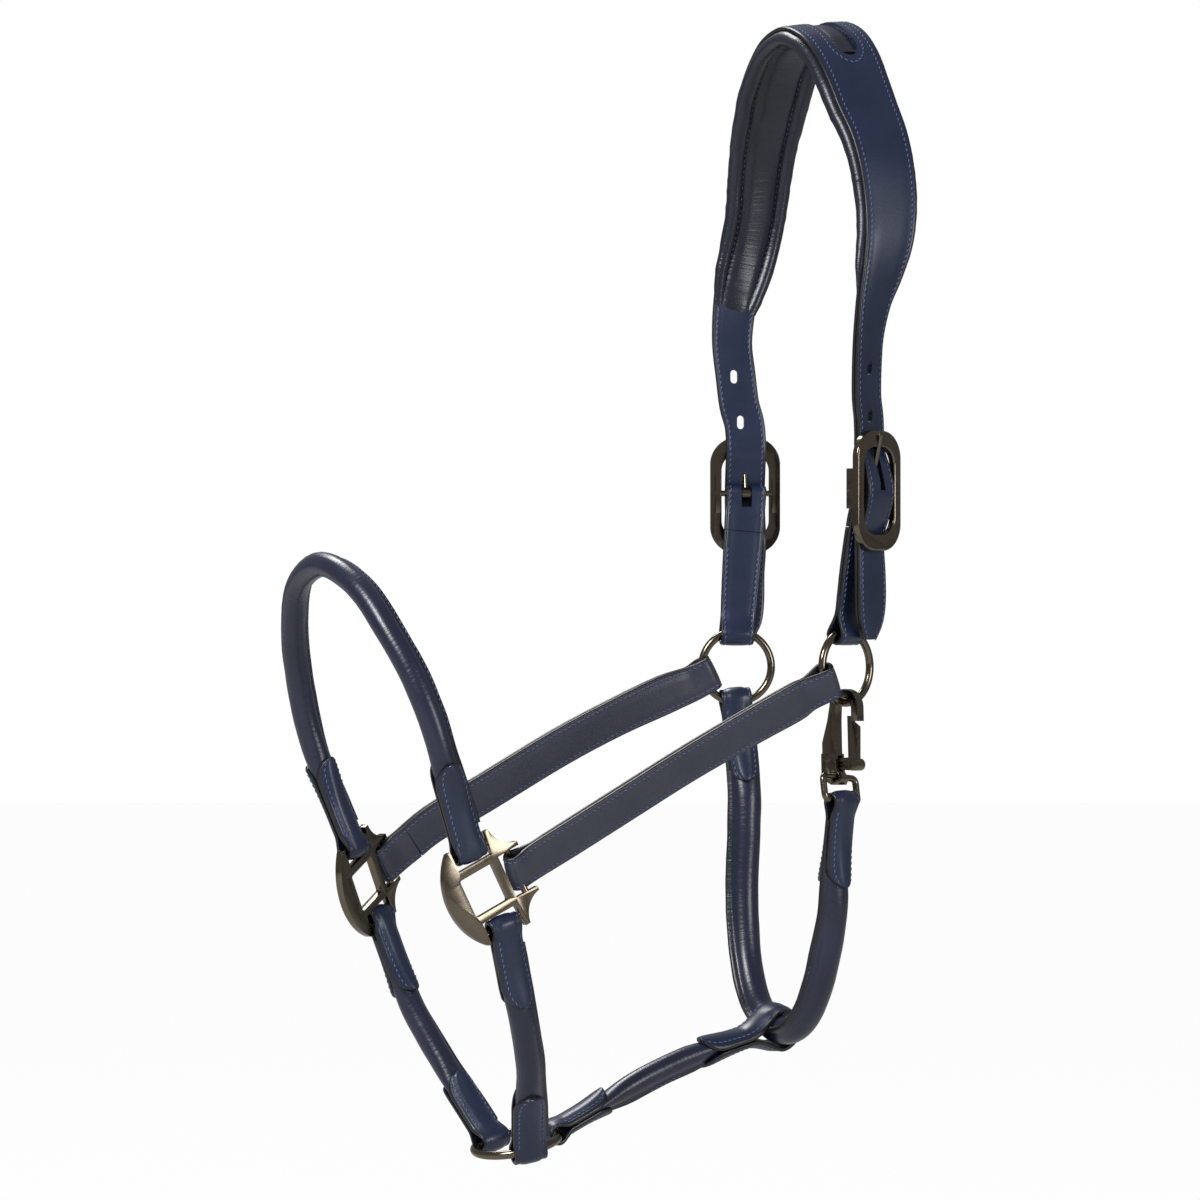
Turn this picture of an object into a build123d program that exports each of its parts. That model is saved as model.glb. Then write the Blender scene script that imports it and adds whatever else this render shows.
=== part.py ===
"""Leather headcollar: padded crown, two cheeks, rolled noseband, chin, jowl and throat straps.

Millimetres. +X runs towards the nose, +Y to the wearer's left (near) side, +Z up.
The origin is on the underside of the crown at the poll, where it rests on the head.
"""

from build123d import *
import math
import os

os.makedirs("parts", exist_ok=True)

# ---------------------------------------------------------------- driving sizes
STRAP = 20.5                 # width of the flat straps
PLY = 2.0                    # one thickness of strap leather
CROWN_LEATHER = 2.2          # outer leather of the crown and its billets
SKIN = 1.3                   # soft lining leather
ROLL = 12.4                  # outside diameter of a rolled strap
JOWL = 11.5                  # outside diameter of the jowl strap, which is rolled thinner
THROAT = 14.8                # outside diameter of the throat strap, which is rolled thicker
TAB = 17.0                   # width of the tabs that clasp the rolled straps
ROLL_WALL = 2.0              # leather wall round the cord core
FLAT_ROLL = (15.0, 5.0)      # a roll pressed flat between the legs of its tab

RING_R, RING_WIRE = 18.0, 2.0          # cheek ring: radius to the wire's middle, wire radius
CHIN_R, CHIN_WIRE = 21.0, 2.2          # chin ring, the same
SQUARE_END = 18.4                      # width of a cheek strap between the square's ears
RING_END = 17.0                        # width of a strap where it folds round a ring
RING_EYE = 3.7                         # inside radius of a leather eye round a curved ring wire
BAR_EYE = 2.7                          # inside radius of a leather eye round a straight bar
SAG = 1.2                              # an eye on a curved wire sits this far inside its circle

BUCKLE_W, BUCKLE_H, BUCKLE_T = 36.0, 60.0, 3.5
WINDOW_W, WINDOW_H = 24.5, 43.5
PIN_R = 1.5                            # centre bar of the buckle
PIN_IN, PIN_UP = 5.0, 1.0              # the centre bar sits this far behind and above the middle

SQUARE_T = 3.8                         # thickness of the halter square
SQUARE_BAR = 1.8                       # radius of its three round strap bars
BAR_OUT = 20.3                         # from the middle of the square to each strap bar

# places (near side; the far side mirrors them unless it has its own)
RING_AT = Vector(20, 56.5, -313)
RING_FACES = 109                       # compass angle of the ring's outward face, 90 is straight out
BUCKLE_AT = Vector(8.7, 68, -225)
BUCKLE_FACES = 113
CHIN_AT = Vector(176.5, 0, -549.5)
CHIN_UP = Vector(0.24, 0.10, 1).normalized()
NEAR_SQUARE_AT, NEAR_SQUARE_FACES, NEAR_SQUARE_LEAN = Vector(228.6, 65.1, -421.7), 89, 27
FAR_SQUARE_AT, FAR_SQUARE_FACES, FAR_SQUARE_LEAN = Vector(228.6, -65.1, -421.7), 119, 30

# Poll to tip of the near billet: place, outward direction, width. The far half mirrors it.
CROWN_LINE = [
    (7.5, 0.0, 10.8, 0.11, 0.0, 1.0, 37.0),
    (7.5, 19.0, 6.0, 0.1, 0.45, 0.9, 37.0),
    (7.0, 33.0, -4.5, 0.06, 0.75, 0.66, 36.5),
    (6.5, 43.5, -18.0, 0.0, 0.85, 0.5, 36.0),
    (5.5, 52.0, -32.0, 0.0, 0.87, 0.48, 35.0),
    (4.0, 60.5, -46.0, 0.0, 0.92, 0.38, 33.0),
    (3.0, 66.5, -62.0, 0.0, 0.97, 0.22, 31.5),
    (3.0, 70.5, -80.0, 0.0, 0.99, 0.12, 30.0),
    (5.0, 73.0, -98.0, -0.05, 1.0, 0.0, 28.5),
    (9.0, 73.0, -115.0, -0.15, 0.99, -0.05, 25.5),
    (13.0, 72.0, -130.0, -0.25, 0.96, -0.1, 22.0),
    (15.0, 70.3, -147.0, -0.36, 0.93, -0.1, STRAP),
    (14.5, 67.6, -163.0, -0.4, 0.91, -0.1, STRAP),
    (13.5, 65.6, -178.0, -0.4, 0.91, 0.0, STRAP),
    (11.4, 63.9, -188.0, -0.39, 0.92, 0.0, STRAP),
    (10.7, 63.4, -197.0, -0.39, 0.92, 0.0, STRAP),
    (10.6, 63.5, -204.0, -0.39, 0.92, 0.0, STRAP),
    (9.3, 66.6, -213.0, -0.39, 0.92, 0.0, STRAP),
    (8.2, 69.2, -225.0, -0.39, 0.92, 0.0, STRAP),
    (9.3, 66.6, -237.0, -0.39, 0.92, 0.0, STRAP),
    (10.6, 63.5, -246.0, -0.39, 0.92, 0.0, STRAP),
    (10.7, 63.4, -253.5, -0.39, 0.92, 0.0, STRAP),
    (10.9, 64.6, -265.0, -0.35, 0.93, -0.1, STRAP),
    (10.9, 64.9, -280.0, -0.35, 0.93, -0.1, STRAP),
    (10.9, 64.2, -291.0, -0.35, 0.93, -0.1, 17.0),
    (11.0, 63.2, -299.0, -0.35, 0.93, -0.1, 8.0),
]
WAIST = 11                   # row of CROWN_LINE where the padding has ended and the billet starts
# Padding under the outer leather at the first rows, thinning to nothing above the waist.
PAD_THICK = [7.0, 7.0, 7.0, 7.0, 6.8, 6.5, 6.2, 6.0, 5.2, 3.6, 1.6]

# Cheek straps, from the square's rear bar back to the ring: place and outward direction.
NEAR_CHEEK = [
    (201.0, 65.5, -407.6, 0.0, 0.92, -0.38),
    (178.0, 64.5, -395.4, 0.0, 0.91, -0.42),
    (148.0, 63.5, -379.2, 0.0, 0.91, -0.42),
    (112.0, 62.5, -359.8, 0.0, 0.91, -0.42),
    (76.0, 62.0, -341.8, 0.0, 0.93, -0.36),
    (52.0, 61.5, -330.4, -0.15, 0.95, -0.25),
    (44.0, 61.4, -326.2, -0.25, 0.95, -0.2),
]
FAR_CHEEK = [
    (205.0, -72.8, -405.6, 0.2, -0.98, 0.1),
    (187.0, -70.5, -391.8, 0.1, -0.98, 0.2),
    (160.0, -66.5, -376.6, 0.0, -0.97, 0.24),
    (119.0, -63.5, -353.8, 0.0, -0.97, 0.24),
    (86.0, -62.5, -338.2, 0.0, -0.97, 0.24),
    (60.0, -62.2, -327.6, -0.2, -0.96, 0.18),
    (44.0, -62.0, -322.0, -0.3, -0.94, 0.15),
]

# Rolled straps: place and the direction that the flat of each end faces.
NOSE_ROLL = [
    (240.5, 66.2, -391.7, 0.0, 1.0, -0.1),
    (246.9, 68.2, -374.7, 0.0, 1.0, -0.1),
    (253.2, 70.6, -358.0, 0.05, 1.0, 0.05),
    (259.5, 70.6, -339.0, 0.1, 0.97, 0.2),
    (266.0, 65.6, -319.0, 0.2, 0.9, 0.4),
    (273.0, 55.4, -299.0, 0.25, 0.75, 0.6),
    (279.5, 39.5, -278.5, 0.3, 0.5, 0.8),
    (282.8, 22.0, -267.5, 0.33, 0.3, 0.9),
    (284.0, 0.0, -262.5, 0.35, 0.0, 0.94),
    (282.8, -22.0, -267.5, 0.33, -0.3, 0.9),
    (279.5, -39.5, -278.5, 0.3, -0.5, 0.8),
    (273.0, -54.5, -299.0, 0.25, -0.75, 0.6),
    (266.0, -63.8, -319.0, 0.2, -0.9, 0.4),
    (259.5, -68.4, -339.0, 0.2, -0.97, 0.2),
    (253.2, -68.4, -358.0, 0.3, -0.9, -0.2),
    (246.6, -65.3, -375.5, 0.32, -0.88, -0.26),
    (240.4, -62.6, -392.2, 0.32, -0.88, -0.26),
]
NEAR_CHIN_ROLL = [
    (214.8, 63.1, -450.0, 0.0, 0.98, -0.2),
    (209.6, 60.3, -465.7, 0.0, 0.98, -0.2),
    (204.2, 57.3, -481.0, 0.0, 0.95, -0.3),
    (198.7, 52.3, -496.0, 0.0, 0.88, -0.45),
    (193.6, 46.3, -510.0, 0.05, 0.84, -0.54),
    (187.6, 34.9, -528.4, 0.05, 0.84, -0.54),
    (182.1, 24.0, -545.5, 0.05, 0.84, -0.54),
]
FAR_CHIN_ROLL = [
    (215.6, -68.1, -449.0, 0.31, -0.87, -0.25),
    (210.6, -64.4, -464.8, 0.31, -0.87, -0.25),
    (205.5, -60.5, -481.0, 0.3, -0.87, -0.35),
    (200.2, -53.4, -496.0, 0.15, -0.86, -0.45),
    (195.0, -45.5, -510.0, 0.02, -0.82, -0.57),
    (189.4, -35.2, -525.0, 0.02, -0.82, -0.57),
    (183.3, -24.0, -541.3, 0.02, -0.82, -0.57),
]
JOWL_ROLL = [
    (146.5, -0.3, -540.5, 0.4, 0.0, 0.9),
    (130.0, -1.0, -532.3, 0.4, 0.0, 0.9),
    (112.0, -2.2, -523.5, 0.35, 0.0, 0.93),
    (94.0, -3.5, -515.7, 0.33, 0.0, 0.94),
    (76.0, -5.0, -509.3, 0.3, 0.0, 0.95),
    (58.0, -6.5, -504.0, 0.25, 0.0, 0.97),
    (39.0, -8.0, -499.0, 0.2, 0.0, 0.98),
]
THROAT_ROLL = [
    (21.5, 53.3, -389.3, -0.3, 0.95, 0.0),
    (21.9, 50.6, -404.6, -0.3, 0.95, 0.0),
    (21.8, 47.8, -420.0, -0.3, 0.95, 0.0),
    (21.6, 45.8, -437.0, -0.2, 0.97, -0.1),
    (22.4, 42.0, -454.0, 0.0, 0.95, -0.3),
    (23.2, 36.2, -470.0, 0.0, 0.85, -0.5),
    (23.8, 28.0, -483.5, 0.0, 0.6, -0.8),
    (24.4, 16.0, -493.5, 0.0, 0.25, -0.97),
    (24.8, 4.0, -496.6, 0.0, 0.0, -1.0),
    (25.0, -8.0, -495.4, 0.0, -0.15, -1.0),
    (24.6, -20.0, -490.0, 0.0, -0.5, -0.87),
    (23.8, -30.5, -480.6, 0.0, -0.75, -0.66),
    (22.8, -39.6, -464.0, 0.0, -0.95, -0.3),
    (21.8, -44.6, -446.0, -0.1, -0.98, -0.1),
    (20.8, -47.2, -429.0, -0.2, -0.97, 0.0),
    (19.8, -48.0, -411.0, -0.3, -0.95, 0.0),
    (18.8, -48.4, -394.0, -0.35, -0.94, 0.0),
    (18.0, -49.6, -377.0, -0.38, -0.92, 0.0),
    (18.3, -51.6, -360.0, -0.38, -0.92, 0.0),
    (18.9, -53.8, -345.0, -0.38, -0.92, 0.0),
]


# ---------------------------------------------------------------- paths and planes
def smooth(rows, steps=3):
    """Even steps along the smooth line through hand-chosen rows of numbers."""
    out = []
    for i in range(len(rows) - 1):
        a, b, c, d = rows[max(i - 1, 0)], rows[i], rows[i + 1], rows[min(i + 2, len(rows) - 1)]
        for k in range(steps):
            t = k / steps
            out.append([
                0.5 * (2 * q + (r - p) * t + (2 * p - 5 * q + 4 * r - s) * t**2
                       + (3 * q - p - 3 * r + s) * t**3)
                for p, q, r, s in zip(a, b, c, d)
            ])
    out.append(list(rows[-1]))
    return out


def planes(rows):
    """A plane square to the line at each row: x across the strap, y out of its face."""
    points = [Vector(*row[:3]) for row in rows]
    out = []
    for i, row in enumerate(rows):
        along = (points[min(i + 1, len(points) - 1)] - points[max(i - 1, 0)]).normalized()
        face = Vector(*row[3:6])
        across = face.cross(along).normalized()
        out.append(Plane(origin=points[i], x_dir=across, z_dir=along))
    return out


def facing(at, compass, lean=0.0):
    """Plane standing upright at a place: x backwards, y up, z out at a compass angle."""
    out = Vector(math.cos(math.radians(compass)), math.sin(math.radians(compass)), 0)
    back = Vector(0, 0, 1).cross(out)
    tilt = math.radians(lean)
    x = back * math.cos(tilt) + Vector(0, 0, 1) * math.sin(tilt)
    return Plane(origin=at, x_dir=x, z_dir=out)


def mirrored(rows):
    """The far half of a line that is the same on both sides."""
    return [(r[0], -r[1], r[2], r[3], -r[4], r[5], *r[6:]) for r in rows]


def layer(rows, low, high, narrow=0.0):
    """Flat strap between two heights over its line; heights may be one for each row."""
    low = low if isinstance(low, list) else [low] * len(rows)
    high = high if isinstance(high, list) else [high] * len(rows)
    sections = []
    for plane, row, a, b in zip(planes(rows), rows, low, high):
        across = (row[6] if len(row) > 6 else STRAP) - narrow
        sections.append(plane * Pos(0, (a + b) / 2) * Rectangle(across, b - a))
    return loft(sections, ruled=True)


def save(name, shape):
    """Write one named piece."""
    export_step(shape, f"parts/{name}.step")


# ---------------------------------------------------------------- crown
def crown_holes():
    """Punched buckle holes of one billet, as cutters 23.5 mm apart above the engaged one."""
    holes = []
    for x, y, z in ((14.9, 69.0, -164.0), (12.9, 65.5, -187.5)):
        hole = SlotOverall(7.0, 3.8, rotation=90)
        cutter = extrude(facing(Vector(x, y, z), BUCKLE_FACES) * hole, 12, both=True)
        holes.append(cutter)
    return holes


def tongue_room(radius):
    """Rod along the tongue's finger, for the hole in the billet and the notch in the frame."""
    low, high = Vector(0, PIN_UP, -4.3), Vector(0, PIN_UP + 27, 2.2)
    path = Plane(origin=(low + high) / 2, z_dir=high - low)
    return path.location * Cylinder(radius, 34)


def crown():
    """Outer leather with both billets, billet linings, padding and soft lining."""
    far = mirrored(CROWN_LINE)
    whole = smooth(far[:0:-1] + CROWN_LINE)
    outer = layer(whole, 0.0, CROWN_LEATHER)
    slot = SlotOverall(74, 13)
    opening = extrude(Plane(origin=(6, 0, 0), x_dir=(0, 1, 0), z_dir=(0, 0, 1)) * slot, 30)
    outer -= opening
    cutters = crown_holes()
    cutters.append(facing(BUCKLE_AT, BUCKLE_FACES).location * tongue_room(2.5))
    cutters += [mirror(c, about=Plane.XZ) for c in cutters]
    for cutter in cutters:
        outer -= cutter
    save("crown_outer", outer)

    billet = smooth(CROWN_LINE[WAIST:])
    lining = layer(billet, -PLY, -0.05)
    for cutter in cutters[:3]:
        lining -= cutter
    save("near_billet_lining", lining)
    save("far_billet_lining", mirror(lining, about=Plane.XZ))

    padded = CROWN_LINE[:WAIST]
    rows = [(*row, pad) for row, pad in zip(padded, PAD_THICK)]
    rows = smooth([(*r[:7], p) for r, p in zip(mirrored(padded)[:0:-1], PAD_THICK[:0:-1])] + rows)
    under = [-row[7] for row in rows]
    pad = layer([row[:7] for row in rows], under, -0.1, narrow=3.0)
    save("crown_padding", pad)
    skin = layer([row[:7] for row in rows], [u - SKIN for u in under], [u - 0.1 for u in under],
                 narrow=-6.0)
    save("crown_lining", skin)


# ---------------------------------------------------------------- folded leather
def round_bar(at, bar, eye, width):
    """The rod of leather round a bar and the bore that clears it."""
    here = Plane(origin=at, z_dir=bar).location
    return here * Cylinder(eye + PLY, width), here * Cylinder(eye, width + 6)


def folded_legs(eye, length, spread, width):
    """The two legs of a folded tab, running along y, rounded at their free ends."""
    outside = eye + PLY
    keep = Pos(0, (length - outside) / 2) * SlotOverall(length + outside, width, rotation=90)
    shape = extrude(keep + Rectangle(width, 2 * outside), 40, both=True)
    legs = []
    for side in (1, -1):
        near, far = side * eye, side * spread
        outline = Polyline(
            (0, near), (0, near + side * PLY), (length, far + side * PLY), (length, far),
            close=True,
        )
        face = Plane(origin=(-width / 2, 0, 0), x_dir=(0, 1, 0), z_dir=(1, 0, 0)) * make_face(outline)
        legs.append(extrude(face, width) & shape)
    return legs


def tab(name, eye_at, towards, bar, eye, length, spread, face, width=TAB):
    """A folded tab whose eye lies on a bar and whose legs run towards the rolled strap."""
    along = towards.normalized()
    across = (bar - along * bar.dot(along)).normalized()
    if across.cross(along).dot(face) < 0:
        across = across * -1
    plane = Plane(origin=eye_at, x_dir=across, z_dir=across.cross(along))
    fold, bore = round_bar(eye_at, bar, eye, width)
    for leg in folded_legs(eye, length, spread, width):
        fold += plane.location * leg
    save(name, fold - bore)


def chape(side):
    """Strap folded round the cheek ring and the buckle's centre bar, stitched together."""
    frame = facing(BUCKLE_AT, BUCKLE_FACES)
    top = frame.from_local_coords(Vector(0, PIN_UP, -PIN_IN))
    ring = facing(RING_AT, RING_FACES)
    bottom = ring.from_local_coords(Vector(0, RING_R - SAG, 0))
    shift = frame.to_local_coords(bottom)
    rows = []
    for down, inward in ((0.0, PIN_IN), (0.14, 7.8), (0.3, 9.7), (0.5, 11.6), (0.75, 13.6), (1.0, -shift.Z)):
        y = PIN_UP + (shift.Y - PIN_UP) * down
        at = frame.from_local_coords(Vector(shift.X * down, y, -inward))
        rows.append((*at, *frame.z_dir, STRAP + (RING_END - STRAP) * down**2))
    body = layer(smooth(rows), -PLY - 0.05, PLY + 0.05)
    eyes = [
        round_bar(top, frame.x_dir, PIN_R + 0.3, STRAP + 0.3),
        round_bar(bottom, ring.x_dir, RING_EYE, RING_END + 0.3),
    ]
    for fold, _ in eyes:
        body += fold
    for _, bore in eyes:
        body -= bore
    slot = frame.location * (Pos(0, PIN_UP - 1, -PIN_IN) * Box(5.4, 12, 16))
    body -= slot
    save(f"{side}_chape", body if side == "near" else mirror(body, about=Plane.XZ))


def eye_plane(at, bar, nearest, along):
    """Section plane through an eye, its x along the bar and on the same side as the next section."""
    bar = bar if nearest.x_dir.dot(bar) > 0 else bar * -1
    across = (bar - along * (bar.dot(along) / along.length**2)).normalized()
    return Plane(origin=at, x_dir=across, z_dir=along)


def cheek_strap(side, rows, square, ring, lean):
    """Two-ply strap with an eye at each end, round the square's rear bar and the ring."""
    angle = math.radians(lean)
    front = square.from_local_coords(Vector(BAR_OUT, 0.5, 0))
    back = ring.from_local_coords(Vector(-math.cos(angle), -math.sin(angle), 0) * (RING_R - SAG))
    wire = ring.from_local_coords(Vector(math.sin(angle), -math.cos(angle), 0)) - ring.origin
    run = planes(smooth(rows))
    first = eye_plane(front, square.y_dir, run[0], run[0].origin - front)
    last = eye_plane(back, wire, run[-1], back - run[-1].origin)
    sections = [first * Rectangle(SQUARE_END, 2 * PLY)]
    sections += [plane * Rectangle(STRAP, 2 * PLY) for plane in run]
    sections.append(last * Rectangle(RING_END, 2 * PLY))
    body = loft(sections, ruled=True)
    eyes = [
        round_bar(front, square.y_dir, BAR_EYE, SQUARE_END + 0.3),
        round_bar(back, wire, RING_EYE, RING_END + 0.3),
    ]
    for fold, _ in eyes:
        body += fold
    for _, bore in eyes:
        body -= bore
    save(f"{side}_cheek_strap", body)


# ---------------------------------------------------------------- rolled straps
def end_faces(shape, line):
    """The flat faces of a loft at the first and the last row of its line."""
    ends = [Vector(*line[0][:3]), Vector(*line[-1][:3])]
    return [min(shape.faces(), key=lambda f: (f.center() - end).length) for end in ends]


def rolled(name, rows, size=ROLL):
    """Leather sewn round a cord core, pressed flat where its tabs clasp it."""
    line = smooth(rows, 2)
    span = [0.0]
    for a, b in zip(line, line[1:]):
        span.append(span[-1] + math.dist(a[:3], b[:3]))
    covers, bores, cores = [], [], []
    for plane, s in zip(planes(line), span):
        t = min(max((min(s, span[-1] - s) - 6) / 36, 0), 1)
        t = t * t * (3 - 2 * t)
        wide = FLAT_ROLL[0] + (size - FLAT_ROLL[0]) * t
        thick = FLAT_ROLL[1] + (size - FLAT_ROLL[1]) * t
        wall = 1.6 + (ROLL_WALL - 1.6) * t
        covers.append(plane * Ellipse(wide / 2, thick / 2))
        bores.append(plane * Ellipse(wide / 2 - wall, thick / 2 - wall))
        cores.append(plane * Ellipse(wide / 2 - wall - 0.1, thick / 2 - wall - 0.1))
    outside, bore = loft(covers, ruled=True), loft(bores, ruled=True)
    walls = [f for shape in (outside, bore) for f in shape.faces() if f not in end_faces(shape, line)]
    caps = [Face(a.outer_wire(), [b.outer_wire()])
            for a, b in zip(end_faces(outside, line), end_faces(bore, line))]
    save(f"{name}_cover", Solid(Shell(walls + caps)))
    save(f"{name}_core", loft(cores[1:-1], ruled=True))


# ---------------------------------------------------------------- metal
def ring(name, plane, radius, wire):
    """Round ring of round wire."""
    save(name, plane.location * Torus(radius, wire))


def buckle(side):
    """Oval inlet buckle: cast frame with side flanges, centre bar and tongue."""
    place = facing(BUCKLE_AT, BUCKLE_FACES).location
    outline = RectangleRounded(BUCKLE_W, BUCKLE_H, 14)
    window = RectangleRounded(WINDOW_W, WINDOW_H, 9)
    plate = extrude(outline - window, BUCKLE_T / 2, both=True)
    plate = fillet(plate.edges().filter_by(Plane.XY).group_by(Axis.Z)[-1], 1.2)
    reach = PIN_IN + 2.3
    for x in (-1, 1):
        flange = extrude(Rectangle(2.4, 20), reach)
        plate += Pos(x * 14.6, PIN_UP, -reach) * flange
    plate -= Pos(0, PIN_UP, -PIN_IN) * Rot(0, 90, 0) * Cylinder(PIN_R, 40)
    plate -= tongue_room(1.75)
    pin = Pos(0, PIN_UP, -PIN_IN) * Rot(0, 90, 0) * Cylinder(PIN_R - 0.01, 31.4)
    loop = Rot(0, 90, 0) * (Cylinder(3.1, 4.2) - Cylinder(PIN_R + 0.08, 5))
    finger = tongue_room(1.4) & Pos(0, PIN_UP + 14.6, 0) * Box(6, 24, 20)
    tongue = Pos(0, PIN_UP, -PIN_IN) * loop + finger
    for name, shape in (("buckle_frame", plate), ("buckle_bar", pin), ("buckle_tongue", tongue)):
        shape = place * shape
        save(f"{side}_{name}", shape if side == "near" else mirror(shape, about=Plane.XZ))


def square(side, plane, flip):
    """Cast halter square: curved front plate, three slots and three round strap bars."""
    corner, ear = 11.8, 26.6
    edge = [
        Line((-10, 25), (-8.2, 25)),
        Line((-8.2, 25), (-8.2, 14)),
        Line((-8.2, 14), (corner, 14)),
        Line((corner, 14), (12.6, 25.6)),
        Line((12.6, 25.6), (15.2, 25.6)),
        ThreePointArc((15.2, 25.6), (18.2, 18.2), (ear, 13.4)),
        Line((ear, 13.4), (ear, 11.4)),
        Line((ear, 11.4), (14, corner - 0.6)),
    ]
    half = edge + [Line((14, corner - 0.6), (14, 0))]
    front = ThreePointArc((-10, -25), (-20.6, 0), (-10, 25))
    lower = [mirror(e, about=Plane.XZ) for e in half]
    plate = extrude(make_face(half + lower + [front]), SQUARE_T / 2, both=True)
    hole = RectangleRounded(19.6, 20.2, 1.2)
    plate -= extrude(hole, 10, both=True)
    bars = [
        Pos(2.6, BAR_OUT) * Rot(0, 90, 0) * Cylinder(SQUARE_BAR, 22.4),
        Pos(2.6, -BAR_OUT) * Rot(0, 90, 0) * Cylinder(SQUARE_BAR, 22.4),
        Pos(BAR_OUT, 0) * Rot(90, 0, 0) * Cylinder(SQUARE_BAR, 25),
    ]
    for bar in bars:
        plate += bar
    if flip:
        plate = mirror(plate, about=Plane.XY)
    save(f"{side}_square", plane.location * plate)


EYE_DOWN = -37.0             # the snap's eye passes through its foot this far below the ring's wire


def snap():
    """Trigger snap on the near ring: body, sprung gate, rivet, spring and wire eye."""
    wire = facing(RING_AT, RING_FACES).from_local_coords(Vector(0, -RING_R, 0))
    out = facing(RING_AT, RING_FACES).z_dir
    # x outwards, y up, z along the ring's wire, origin at the wire's middle
    place = Plane(origin=wire, x_dir=out, z_dir=out.cross(Vector(0, 0, 1))).location

    hook = extrude(Circle(9.4) - Circle(4.9), 2.3, both=True)
    hook = Pos(0.2, -2.4) * hook
    hook &= Pos(0, 11.8) * Box(40, 28, 10)
    shank = Polyline((-9.2, -1.9), (-4.7, -1.9), (-5.0, -9), (-4.6, -24), (-3.4, -33), (-3.4, -37.6),
                     (-13.6, -37.6), (-14.0, -20), (-10.6, -9), close=True)
    body = hook + extrude(make_face(shank), 2.3, both=True)
    tip = Polygon((5.1, -1.9), (9.6, -1.9), (9.8, -9.0), (5.4, -9.0), align=None)
    body += extrude(tip, 2.3, both=True)
    cheeks = Polygon((-13.9, -25.5), (-4.2, -25.5), (-3.4, -36.0), (-13.6, -36.0), align=None)
    body += extrude(cheeks, 3.2, both=True)
    foot = Polygon((-13.6, -34.5), (-3.4, -34.5), (-0.6, -38), (-2.4, -41), (-7.4, -41), (-12.6, -38.5),
                   align=None)
    body += extrude(foot, 3.0, both=True)
    body -= Pos(-4.8, EYE_DOWN) * Cylinder(2.5, 12)
    pivot = Pos(-9.0, -30.4)
    body -= extrude(Polygon((-15, -34.6), (4, -34.6), (4, -26.2), (-15, -26.2), align=None), 1.6, both=True)
    body -= pivot * Cylinder(1.2, 12)
    save("snap_body", place * body)

    lever = Polygon((-11.2, -32.6), (-9, -33.2), (7.6, -33.8), (9.0, -30.6), (8.4, -27.4), (8.4, -11.8),
                    (4.9, -9.4), (4.9, -6.6), (1.9, -6.4), (2.6, -27.2), (-9, -28.0), (-11.2, -28.8),
                    align=None)
    gate = extrude(lever, 1.4, both=True)
    gate += Pos(7.0, -30.8) * Cylinder(3.0, 6.4)
    gate -= pivot * Cylinder(1.25, 12)
    gate -= Pos(-3.6, -30.8) * Box(5.4, 2.6, 12)
    save("snap_gate", place * gate)
    save("snap_rivet", place * (pivot * Cylinder(1.19, 6.4)))
    coil = Pos(-3.6, -30.8) * Rot(0, 90, 0) * (Cylinder(1.1, 4.2) - Cylinder(0.6, 5))
    save("snap_spring", place * coil)

    # eye: rectangular wire frame, its top bar through the body's foot, lower bar in the leather
    along, up = Plane(place).z_dir, Vector(0, 0, 1)
    wide = (along + up * 0.1).normalized()
    down = out * 0.24 - up
    down = (down - wide * down.dot(wide)).normalized()
    top_at = Plane(place).from_local_coords(Vector(-4.8, EYE_DOWN, 0))
    half_w, half_h, wire_r = 12.3, 6.2, 1.7
    frame = Plane(origin=top_at + down * half_h, x_dir=wide, z_dir=wide.cross(down))
    route = RectangleRounded(2 * half_w, 2 * half_h, 2.6).face().outer_wire()
    section = Plane(origin=route @ 0, z_dir=route % 0) * Circle(wire_r)
    save("snap_eye", frame.location * sweep(section, path=route))
    return frame


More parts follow.
